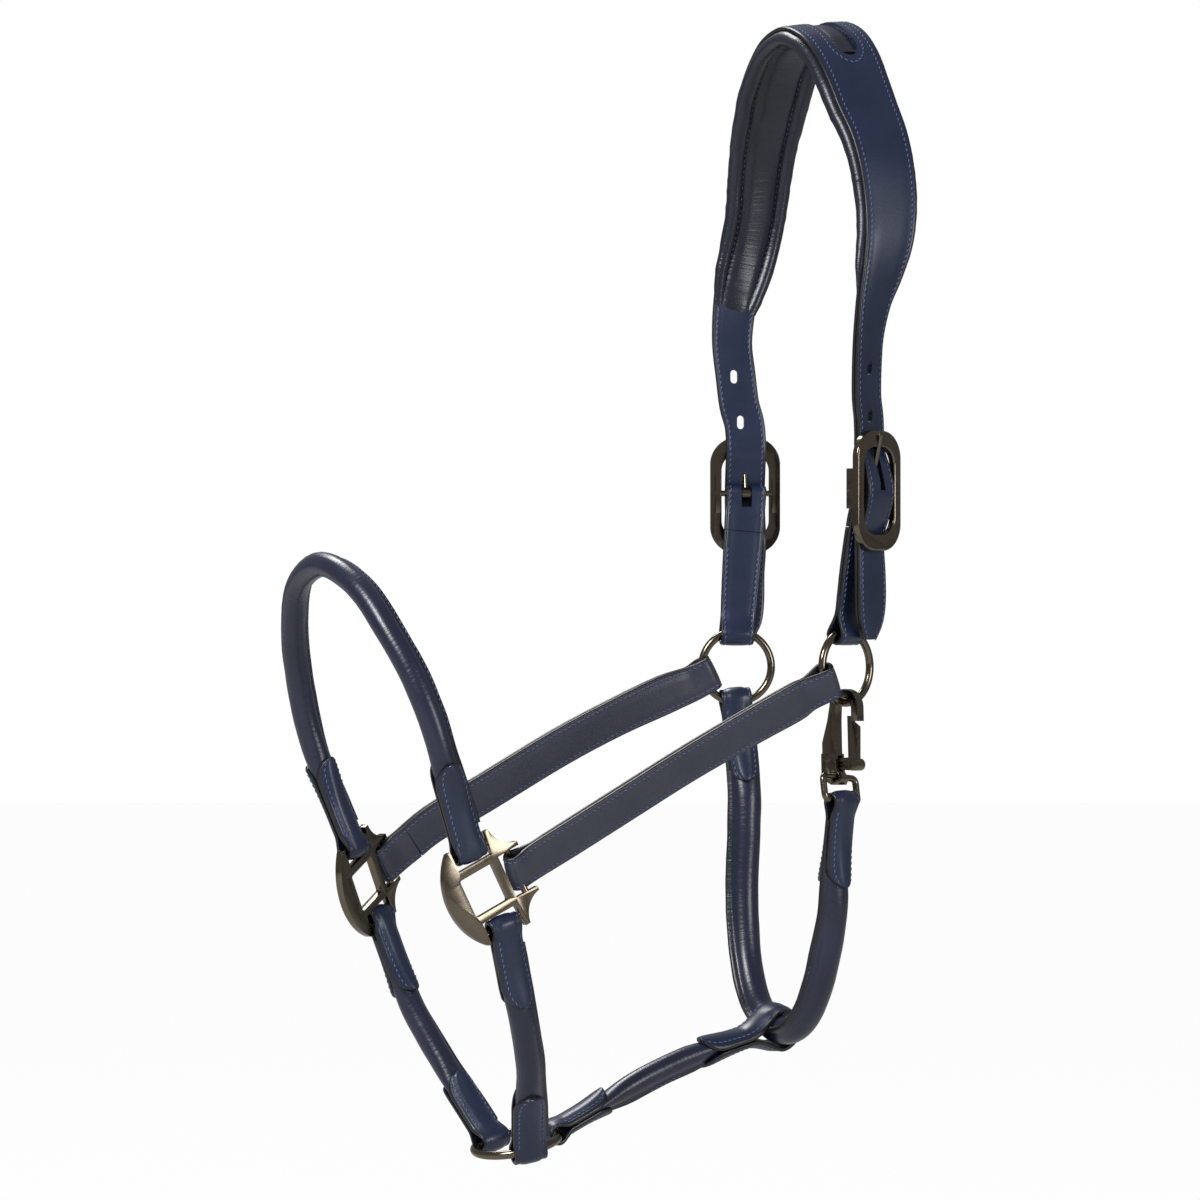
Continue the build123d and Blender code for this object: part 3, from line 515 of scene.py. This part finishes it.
right = [(x * MM, y * MM, 0) for x, y in LINING_HALF]
outline = right + [(-x, y, cut) for x, y, cut in reversed(right[1:])]
places = stations(padded_rows(), 6, LINING_DRAWN)
bm = swept(outline, places)
for vert in bm.verts:
    ripple = noise.noise(Vector((vert.co.x * 60, vert.co.y * 60, vert.co.z * 240)))
    vert.co += vert.normal * ripple * 0.35 * MM
lining = piece_of("crown_lining_leather", bm, lining_leather, "leather", "lining_leather",
                  "crown_lining", "crown_padding", crisp=75)
sewn("crown_lining_thread", [seam(places, x * CHANNEL_X, CHANNEL_Y) for x in (-1, 1)])

# ---------------------------------------------------------------- poll slot
# The lining leather shows through the long slot over the poll as a low pillow, and one row of stitches
# holds the slot's edge to it all the way round.
PILLOW_WIDE, PILLOW_X, PILLOW_SUNK = 12.6, -1.5, 0.1
SLOT_SEAM, SEAM_TURNS_AT = 9.4, 30.5
pillow_line = [(row[0] + PILLOW_X, *row[1:6], PILLOW_WIDE)
               for row in mirrored(CROWN_LINE[:3])[:0:-1] + CROWN_LINE[:3]]
pillow_outline = []
for k in range(24):
    turn = math.radians(15 * k)
    pillow_outline.append((6.2 * math.cos(turn) * MM, (1.7 * math.sin(turn) - PILLOW_SUNK) * MM, 0))
bm = swept(pillow_outline, stations(pillow_line, 8, (PILLOW_WIDE, 1)))
pillow = piece_of("poll_slot_pillow", bm, lining_leather, "leather", "lining_leather", crisp=75)


def slot_end(hand):
    """Points round one end of the slot's seam, in millimetres."""
    half = [math.radians(3 * k) for k in range(1, 60)]
    return [(SLOT_X + hand * SLOT_SEAM * math.cos(t), hand * (SEAM_TURNS_AT + SLOT_SEAM * math.sin(t)))
            for t in half]


straight = [30 - 4 * k for k in range(1, 15)]
route = slot_end(1) + [(SLOT_X - SLOT_SEAM, y) for y in straight] + slot_end(-1)
route += [(SLOT_X + SLOT_SEAM, -y) for y in straight] + slot_end(1)[:1]
bpy.context.view_layer.update()
on_crown = []
for x, y in route:
    hit, spot, out, _ = crown.ray_cast(Vector((x * MM, y * MM, 0.05)), Vector((0, 0, -1)))
    if hit:
        on_crown.append((spot, out))
sewn("poll_slot_thread", [on_crown])

# ---------------------------------------------------------------- billets
# Below the waist the crown runs on as a two-ply billet on each side, lined with the same strap leather,
# punched for the buckle and cut to a blunt point. The lining ply ends under the padding.
PLY = 2.0
hidden = tuple((a + b) / 2 for a, b in zip(CROWN_LINE[WAIST - 2], CROWN_LINE[WAIST - 1]))
billet = [hidden] + CROWN_LINE[WAIST - 1:]
for side, rows in (("near", billet), ("far", mirrored(billet))):
    places = stations(rows, 4, (STRAP_WIDE, 1))
    bm = swept(flat_outline(STRAP, -PLY * MM, swell=0, low=-0.05 * MM), places)
    ply = piece_of(f"{side}_billet_ply", bm, strap_leather, "leather", "strap_leather",
                   f"{side}_billet_lining")
    punch(ply, billet_holes())
    sewn(f"{side}_billet_thread", [seam(places, x * (STRAP / 2 - SEAM_IN), -PLY * MM) for x in (-1, 1)])


# ---------------------------------------------------------------- chapes
# A short strap on each side, folded round the buckle's centre bar above and the cheek ring below, slotted
# for the tongue, and stitched through both plies.
RING_AT, RING_FACES, RING_R, SAG = (20, 56.5, -313), 109, 18.0, 1.2
IN_RING = 17.0
PIN_EYE, BAR_EYE, RING_EYE = 1.8, 2.7, 3.7
LAID = PLY / 2 + 0.02
ON_PLY = (PLY / 2 + 0.04) * MM


def mm(point):
    """A point in millimetres."""
    return tuple(c / MM for c in point)


def turned(at, ahead, out, radius, start, end):
    """Rows round an eye: leather that goes from one face to the other round a bar."""
    rows = []
    for k in range(7):
        angle = math.radians(start + (end - start) * k / 6)
        away = ahead * math.cos(angle) + out * math.sin(angle)
        rows.append((*(Vector(at) + away * radius), *away))
    return rows


def faced(rows, height):
    """Rows moved off their line by a height, with that face outwards."""
    side = math.copysign(1, height)
    moved = []
    for row in rows:
        spot, out = Vector(row[:3]), Vector(row[3:6])
        moved.append((*(spot + out.normalized() * height), *(out * side), *row[6:]))
    return moved


def square_to(vector, axis):
    """The part of a vector that is square to an axis, at length one."""
    return (vector - axis * vector.dot(axis)).normalized()


ply_outline = flat_outline(STRAP, PLY * MM, low=-PLY / 2 * MM)
buckle = facing(BUCKLE_AT, BUCKLE_FACES)
top = Vector(mm(buckle @ (Vector((0, PIN_UP, -PIN_IN)) * MM)))
ring = facing(RING_AT, RING_FACES)
bottom = Vector(mm(ring @ Vector((0, (RING_R - SAG) * MM, 0))))
out = buckle.col[2].xyz
drop = Vector(mm(buckle.inverted() @ (bottom * MM)))
chape_line = []
lowest = (0.88, -drop.z - 0.4)
for down, inward in ((0.1, 7.0), (0.2, 8.5), (0.35, 10.2), (0.55, 12.0), (0.75, 13.4), lowest):
    spot = Vector((drop.x * down, PIN_UP + (drop.y - PIN_UP) * down, -inward))
    chape_line.append((*mm(buckle @ (spot * MM)), *out, STRAP_WIDE - 3.5 * down**2))
for side in ("near", "far"):
    up = square_to(top - bottom, buckle.col[0].xyz)
    face = square_to(out, up)
    high = [(*row, STRAP_WIDE) for row in turned(top, up, face, PIN_EYE + PLY / 2, 90, -90)]
    under = square_to(bottom - top, ring.col[0].xyz)
    face = square_to(ring.col[2].xyz, under)
    low = [(*row, IN_RING) for row in turned(bottom, under, face, RING_EYE + PLY / 2, -90, 90)]
    back = faced(chape_line, -LAID)
    front = faced(chape_line[::-1], LAID)
    butts = [tuple(a + (b - a) * share for a, b in zip(back[1], back[2])) for share in (0.5, 0.47)]
    rows = butts[:1] + back[2:] + low + front + high + back[:2] + butts[1:]
    if side == "far":
        rows = mirrored(rows)[::-1]
    places = stations(rows, 3, (STRAP_WIDE, 1))
    chape = piece_of(f"{side}_chape_leather", swept(ply_outline, places), strap_leather, "leather",
                     "strap_leather", f"{side}_chape")
    cutter = bmesh.new()
    hand = Matrix.Identity(4) if side == "near" else FLIP
    slot_at = Matrix.Translation((0, 0, -PIN_IN * MM))
    slot_size = Matrix.Diagonal((5.4 * MM, 12 * MM, 16 * MM, 1))
    bmesh.ops.create_cube(cutter, size=1, matrix=hand @ buckle @ slot_at @ slot_size)
    punch(chape, cutter, folded=True)
    edge = STRAP / 2 - 2.2 * MM
    sewn(f"{side}_chape_thread", [seam(places[4:-4], x * edge, ON_PLY) for x in (-1, 1)])

# ---------------------------------------------------------------- cheek straps
# Each cheek is one strap that goes round the square's rear bar in front and the cheek ring behind, its
# two plies stitched along both edges; the inner ply's butt shows a finger's width behind the square.
NEAR_SQUARE = facing((228.6, 65.1, -421.7), 89, 27)
FAR_SQUARE = facing((228.6, -65.1, -421.7), 119, 30)
NEAR_CHEEK = [
    (201.0, 65.5, -407.6, 0.0, 0.92, -0.38),
    (178.0, 64.5, -395.4, 0.0, 0.91, -0.42),
    (148.0, 63.5, -379.2, 0.0, 0.91, -0.42),
    (112.0, 62.5, -359.8, 0.0, 0.91, -0.42),
    (76.0, 62.0, -341.8, 0.0, 0.93, -0.36),
    (52.0, 61.5, -330.4, -0.15, 0.95, -0.25),
    (44.0, 61.4, -326.2, -0.25, 0.95, -0.2),
]
FAR_CHEEK = [
    (205.0, -72.8, -405.6, 0.2, -0.98, 0.1),
    (187.0, -70.5, -391.8, 0.1, -0.98, 0.2),
    (160.0, -66.5, -376.6, 0.0, -0.97, 0.24),
    (119.0, -63.5, -353.8, 0.0, -0.97, 0.24),
    (86.0, -62.5, -338.2, 0.0, -0.97, 0.24),
    (60.0, -62.2, -327.6, -0.2, -0.96, 0.18),
    (44.0, -62.0, -322.0, -0.3, -0.94, 0.15),
]
BAR_OUT = 20.3
# Painted sheen: the cheek leather's two tones are a lighter, greyer navy than the crown's. This stands in
# for the sheen the cheek straps' faces catch, not for a colour of the leather.
SHEEN_LIT_NAVY, SHEEN_LIT_NAVY_DARK = (0.048, 0.052, 0.078), (0.02, 0.025, 0.05)
painted_sheen_cheek_leather = leather("navy_painted_sheen_cheek_leather", SHEEN_LIT_NAVY, SHEEN_LIT_NAVY_DARK, roughness=0.4, grain=0.3,
                        creases=0.12)
far_ring_place = facing((RING_AT[0], -RING_AT[1], RING_AT[2]), 180 - RING_FACES)
for side, line, square, ring_place, lean in (
    ("near", NEAR_CHEEK, NEAR_SQUARE, ring, 27),
    ("far", FAR_CHEEK, FAR_SQUARE, far_ring_place, 15),
):
    angle = math.radians(lean)
    front = Vector(mm(square @ (Vector((BAR_OUT, 0.5, 0)) * MM)))
    spoke = Vector((-math.cos(angle), -math.sin(angle), 0)) * (RING_R - SAG)
    back = Vector(mm(ring_place @ (spoke * MM)))
    line = [(*row, STRAP_WIDE) for row in line]
    line[0] = (*line[0][:6], 19.6)
    line[-1] = (*line[-1][:6], 18.4)
    first, last = Vector(line[0][3:6]), Vector(line[-1][3:6])
    ahead = (front - Vector(line[0][:3])).normalized()
    behind = (back - Vector(line[-1][:3])).normalized()
    at_square = turned(front, ahead, square_to(first, ahead), BAR_EYE + PLY / 2, 90, -90)
    at_ring = turned(back, behind, square_to(last, behind), RING_EYE + PLY / 2, -90, 90)
    inner, outer = faced(line, -LAID), faced(line, LAID)
    butts = [tuple(a + (b - a) * share for a, b in zip(inner[0], inner[1])) for share in (0.36, 0.345)]
    rows = (butts[:1] + inner[1:] + [(*row, 17.2) for row in at_ring] + outer[::-1]
            + [(*row, 18.6) for row in at_square] + inner[:1] + butts[1:])
    places = stations(rows, 4, (STRAP_WIDE, 1))
    piece_of(f"{side}_painted_sheen_cheek_leather", swept(ply_outline, places), painted_sheen_cheek_leather, "leather",
             "strap_leather", f"{side}_cheek_strap")
    edge = STRAP / 2 - 2.4 * MM
    sewn(f"{side}_cheek_thread", [seam(places, x * edge, ON_PLY) for x in (-1, 1)])

# ---------------------------------------------------------------- rolled straps
# Noseband, chin, jowl and throat straps are soft leather sewn round a cord, with the two edges standing
# as a stitched flange along one side, and are pressed flat where the tabs clasp their ends.
ROLL_NAVY, ROLL_NAVY_DARK = (0.014, 0.020, 0.048), (0.007, 0.010, 0.025)
rolled_leather = leather("navy_rolled_leather", ROLL_NAVY, ROLL_NAVY_DARK, roughness=0.31, grain=0.25,
                         creases=0.55)
NOSE_ROLL = [
    (240.5, 66.2, -391.7, 0.0, 1.0, -0.1),
    (246.9, 68.2, -374.7, 0.0, 1.0, -0.1),
    (253.2, 70.6, -358.0, 0.05, 1.0, 0.05),
    (259.5, 70.6, -339.0, 0.1, 0.97, 0.2),
    (266.0, 65.6, -319.0, 0.2, 0.9, 0.4),
    (273.0, 55.4, -299.0, 0.25, 0.75, 0.6),
    (279.5, 39.5, -278.5, 0.3, 0.5, 0.8),
    (282.8, 22.0, -267.5, 0.33, 0.3, 0.9),
    (284.0, 0.0, -262.5, 0.35, 0.0, 0.94),
    (282.8, -22.0, -267.5, 0.33, -0.3, 0.9),
    (279.5, -39.5, -278.5, 0.3, -0.5, 0.8),
    (273.0, -54.5, -299.0, 0.25, -0.75, 0.6),
    (266.0, -63.8, -319.0, 0.2, -0.9, 0.4),
    (259.5, -68.4, -339.0, 0.2, -0.97, 0.2),
    (253.2, -68.4, -358.0, 0.3, -0.9, -0.2),
    (246.6, -65.3, -375.5, 0.32, -0.88, -0.26),
    (240.4, -62.6, -392.2, 0.32, -0.88, -0.26),
]
NEAR_CHIN_ROLL = [
    (214.8, 63.1, -450.0, 0.0, 0.98, -0.2),
    (209.6, 60.3, -465.7, 0.0, 0.98, -0.2),
    (204.2, 57.3, -481.0, 0.0, 0.95, -0.3),
    (198.7, 52.3, -496.0, 0.0, 0.88, -0.45),
    (193.6, 46.3, -510.0, 0.05, 0.84, -0.54),
    (187.6, 34.9, -528.4, 0.05, 0.84, -0.54),
    (182.1, 24.0, -545.5, 0.05, 0.84, -0.54),
]
FAR_CHIN_ROLL = [
    (215.6, -68.1, -449.0, 0.31, -0.87, -0.25),
    (210.6, -64.4, -464.8, 0.31, -0.87, -0.25),
    (205.5, -60.5, -481.0, 0.3, -0.87, -0.35),
    (200.2, -53.4, -496.0, 0.15, -0.86, -0.45),
    (195.0, -45.5, -510.0, 0.02, -0.82, -0.57),
    (189.4, -35.2, -525.0, 0.02, -0.82, -0.57),
    (183.3, -24.0, -541.3, 0.02, -0.82, -0.57),
]
JOWL_ROLL = [
    (146.5, -0.3, -540.5, 0.4, 0.0, 0.9),
    (130.0, -1.0, -532.3, 0.4, 0.0, 0.9),
    (112.0, -2.2, -523.5, 0.35, 0.0, 0.93),
    (94.0, -3.5, -515.7, 0.33, 0.0, 0.94),
    (76.0, -5.0, -509.3, 0.3, 0.0, 0.95),
    (58.0, -6.5, -504.0, 0.25, 0.0, 0.97),
    (39.0, -8.0, -499.0, 0.2, 0.0, 0.98),
]
THROAT_ROLL = [
    (21.5, 53.3, -389.3, -0.3, 0.95, 0.0),
    (21.9, 50.6, -404.6, -0.3, 0.95, 0.0),
    (21.8, 47.8, -420.0, -0.3, 0.95, 0.0),
    (21.6, 45.8, -437.0, -0.2, 0.97, -0.1),
    (22.4, 42.0, -454.0, 0.0, 0.95, -0.3),
    (23.2, 36.2, -470.0, 0.0, 0.85, -0.5),
    (23.8, 28.0, -483.5, 0.0, 0.6, -0.8),
    (24.4, 16.0, -493.5, 0.0, 0.25, -0.97),
    (24.8, 4.0, -496.6, 0.0, 0.0, -1.0),
    (25.0, -8.0, -495.4, 0.0, -0.15, -1.0),
    (24.6, -20.0, -490.0, 0.0, -0.5, -0.87),
    (23.8, -30.5, -480.6, 0.0, -0.75, -0.66),
    (22.8, -39.6, -464.0, 0.0, -0.95, -0.3),
    (21.8, -44.6, -446.0, -0.1, -0.98, -0.1),
    (20.8, -47.2, -429.0, -0.2, -0.97, 0.0),
    (19.8, -48.0, -411.0, -0.3, -0.95, 0.0),
    (18.8, -48.4, -394.0, -0.35, -0.94, 0.0),
    (18.0, -49.6, -377.0, -0.38, -0.92, 0.0),
    (18.3, -51.6, -360.0, -0.38, -0.92, 0.0),
    (18.9, -53.8, -345.0, -0.38, -0.92, 0.0),
]
FLAT_WIDE, FLAT_HIGH = 15.0, 5.0
STAYS_FLAT, ROUNDS_OVER = 6, 36
FIN = 2.4 * MM


def ease(t):
    """From 0 to 1 with a soft start and stop."""
    t = min(max(t, 0), 1)
    return t * t * (3 - 2 * t)


def roll_outline(radius, fin_at):
    """Round section with a stitched flange standing out at an angle in degrees."""
    out = []
    for k in range(26):
        turn = 18 + (360 - 36) * k / 25
        out.append((radius, turn, 0.0))
    reach = radius + FIN
    out += [(radius + 0.7 * MM, -11.5, 0.2), (reach - 0.4 * MM, -8.5, 1), (reach, -5, 1),
            (reach - 0.25 * MM, 0, 1), (reach, 5, 1), (reach - 0.4 * MM, 8.5, 1),
            (radius + 0.7 * MM, 11.5, 0.2)]
    return [(r * math.cos(math.radians(t + fin_at)), r * math.sin(math.radians(t + fin_at)), cut)
            for r, t, cut in out]


def rolled(name, line, size, fin_at, *stands_for):
    """A rolled strap, flat at both ends, with its flange's stitches on both sides."""
    rows = smooth(line, 4)
    gone = [0.0]
    for a, b in zip(rows, rows[1:]):
        gone.append(gone[-1] + math.dist(a[:3], b[:3]))
    shaped = []
    for row, s in zip(rows, gone):
        t = ease((min(s, gone[-1] - s) - STAYS_FLAT) / ROUNDS_OVER)
        shaped.append((*row, FLAT_WIDE + (size - FLAT_WIDE) * t, FLAT_HIGH + (size - FLAT_HIGH) * t))
    places = stations(shaped, 1, (size, size))
    bm = swept(roll_outline(size / 2 * MM, fin_at), places)
    for vert in bm.verts:
        vert.co += vert.normal * noise.noise(vert.co * 90) * 0.25 * MM
    piece_of(f"{name}_leather", bm, rolled_leather, "leather", "strap_leather", *stands_for, crisp=50)
    middle = size / 2 * MM + 0.55 * FIN
    ray = Vector((math.cos(math.radians(fin_at)), math.sin(math.radians(fin_at)), 0))
    side = Vector((-ray.y, ray.x, 0))
    lines = []
    for hand in (1, -1):
        spot = ray * middle + side * hand * 1.2 * MM
        lines.append([(p @ spot, (p.to_3x3() @ side * hand).normalized()) for p in places[10:-10]])
    sewn(f"{name}_thread", lines)


rolled("noseband", NOSE_ROLL, 12.4, 180, "noseband_cover", "noseband_core")
rolled("near_chin", NEAR_CHIN_ROLL, 12.4, 0, "near_chin_cover", "near_chin_core")
rolled("far_chin", FAR_CHIN_ROLL, 12.4, 180, "far_chin_cover", "far_chin_core")
rolled("jowl", JOWL_ROLL, 11.5, -90, "jowl_cover", "jowl_core")
rolled("throat", THROAT_ROLL, 14.8, 180, "throat_cover", "throat_core")


# ---------------------------------------------------------------- tabs
# Every rolled strap is held by folded tabs of strap leather: round a square's bar, a ring or the snap's
# eye, then one leg each side of the roll, moulded to it, cut to a tongue and stitched near its edges.
TAB = 17.0
CHIN_AT, CHIN_R = Vector((176.5, 0, -549.5)), 21.0
CHIN_UP = Vector((0.24, 0.10, 1)).normalized()


def tab(node, eye_at, roll, bar, eye, length, spread, face, width=TAB):
    """A folded tab, tip to eye to tip, moulded to the roll whose rows start at the eye."""
    towards = Vector(roll[2][:3]) - eye_at
    first = (Vector(roll[0][:3]) - eye_at).length
    along = towards.normalized()
    across = square_to(bar, along)
    if across.cross(along).dot(face) < 0:
        across = -across
    out = across.cross(along)
    reach = width * 0.62
    neck = max(9, 2.2 * eye)

    def room(ahead):
        """Half the thickness of what the leg lies on, and how far it is moulded over it."""
        swollen = ease((ahead - first - STAYS_FLAT) / ROUNDS_OVER)
        open_eye = ease(1 - ahead / neck)
        half = FLAT_HIGH / 2 + (spread - 0.1 - FLAT_HIGH / 2) * swollen
        return half + (eye - half) * open_eye, 1 - open_eye

    leg = []
    for share in (1.0, 0.992, 0.965, 0.92, 0.86, 0.75, 0.62, 0.5, 0.4, 0.3, 0.2, 0.12):
        ahead = length * share
        to_tip = min((length - ahead) / reach, 1)
        narrow = math.sqrt(max(1 - (1 - to_tip) ** 2, 0.0025))
        leg.append((ahead, room(ahead)[0] + PLY / 2 + 0.15, width * narrow))
    outer = [(*(eye_at + along * a + out * h), *out, w) for a, h, w in leg]
    inner = [(*(eye_at + along * a - out * h), *(-out), w) for a, h, w in reversed(leg)]
    fold = [(*row, width) for row in turned(eye_at, -along, out, eye + PLY / 2, 90, -90)]
    places = stations(outer + fold + inner, 3, (width, 1))
    home = Matrix((across, along, out)).transposed().to_4x4()
    home.translation = eye_at * MM
    away = home.inverted()

    def moulded(point):
        """A point of the flat tab, pressed down beside the roll."""
        spot = away @ point
        half, pressed = room(spot.y / MM)
        drop = half * MM * pressed * min(abs(2 * spot.x / (width * MM)), 1) ** 2.6
        spot.z -= math.copysign(drop, spot.z)
        return home @ spot

    bm = swept(flat_outline(width * MM, PLY * MM, swell=0.7 * MM, low=-PLY / 2 * MM), places)
    for vert in bm.verts:
        vert.co = moulded(vert.co)
    piece_of(f"{node}_leather", bm, strap_leather, "leather", "strap_leather", node)
    edge = width * MM / 2 - 2.3 * MM
    lines = []
    for x in (-edge, edge):
        legs = ([], [])
        for p in places:
            flat = p @ Vector((x, ON_PLY, 0))
            spot = away @ flat
            if p.to_scale().x > 0.55 and spot.y > 4 * MM:
                legs[spot.z > 0].append((moulded(flat), p.col[1].xyz.normalized()))
        lines += [legs[1], legs[0]]
    sewn(f"{node}_thread", lines)


for side, square, nose, nose_u, chin, chin_u, width in (
    ("near", NEAR_SQUARE, NOSE_ROLL, 1.9, NEAR_CHIN_ROLL, 2.2, 16.6),
    ("far", FAR_SQUARE, NOSE_ROLL[::-1], 1.0, FAR_CHIN_ROLL, 2.8, 15.6),
):
    hand = 1 if side == "near" else -1
    out = Vector((0, hand, 0))
    top = Vector(mm(square @ (Vector((nose_u, BAR_OUT, 0)) * MM)))
    low = Vector(mm(square @ (Vector((chin_u, -BAR_OUT, 0)) * MM)))
    bar = square.col[0].xyz
    tab(f"noseband_{side}_tab", top, nose, bar, BAR_EYE, 47, 6.5, out, width)
    tab(f"{side}_chin_upper_tab", low, chin, bar, BAR_EYE, 42, 6.3, out, width)
    spoke = square_to(Vector((0.2, hand, 0)), CHIN_UP)
    at = CHIN_AT + spoke * (CHIN_R - SAG)
    tab(f"{side}_chin_lower_tab", at, chin[::-1], CHIN_UP.cross(spoke), RING_EYE, 38, 6.3, out)

spoke = square_to(Vector((-1, 0, 0)), CHIN_UP)
at = CHIN_AT + spoke * (CHIN_R - SAG)
tab("jowl_front_tab", at, JOWL_ROLL, CHIN_UP.cross(spoke), RING_EYE, 36, 6.3, Vector((0, 0, 1)))
at = Vector(THROAT_ROLL[9][:3])
across = (Vector(THROAT_ROLL[8][:3]) - Vector(THROAT_ROLL[10][:3])).normalized()
tab("jowl_throat_loop", at, JOWL_ROLL[::-1], across, 9.3, 46, 6.3, Vector((0, 0, 1)))
turn = math.radians(2)
spoke = Vector((-math.sin(turn), -math.cos(turn), 0)) * (RING_R - SAG) * MM
at = Vector(mm(far_ring_place @ spoke))
tab("throat_far_tab", at, THROAT_ROLL[::-1], far_ring_place.col[0].xyz, RING_EYE, 43, 7.2,
    Vector((0, -1, 0)), 15.8)
out = ring.col[2].xyz
wire = ring @ Vector((0, -RING_R * MM, 0))
wide = (out.cross(Vector((0, 0, 1))) + Vector((0, 0, 0.1))).normalized()
down = square_to(out * 0.24 - Vector((0, 0, 1)), wide)
foot = wire + (out * -4.8 + Vector((0, 0, -37.0))) * MM
at = Vector(mm(foot)) + down * 12.4
tab("throat_near_tab", at, THROAT_ROLL, wide, BAR_EYE, 43, 7.2, Vector((0, 1, 0)))
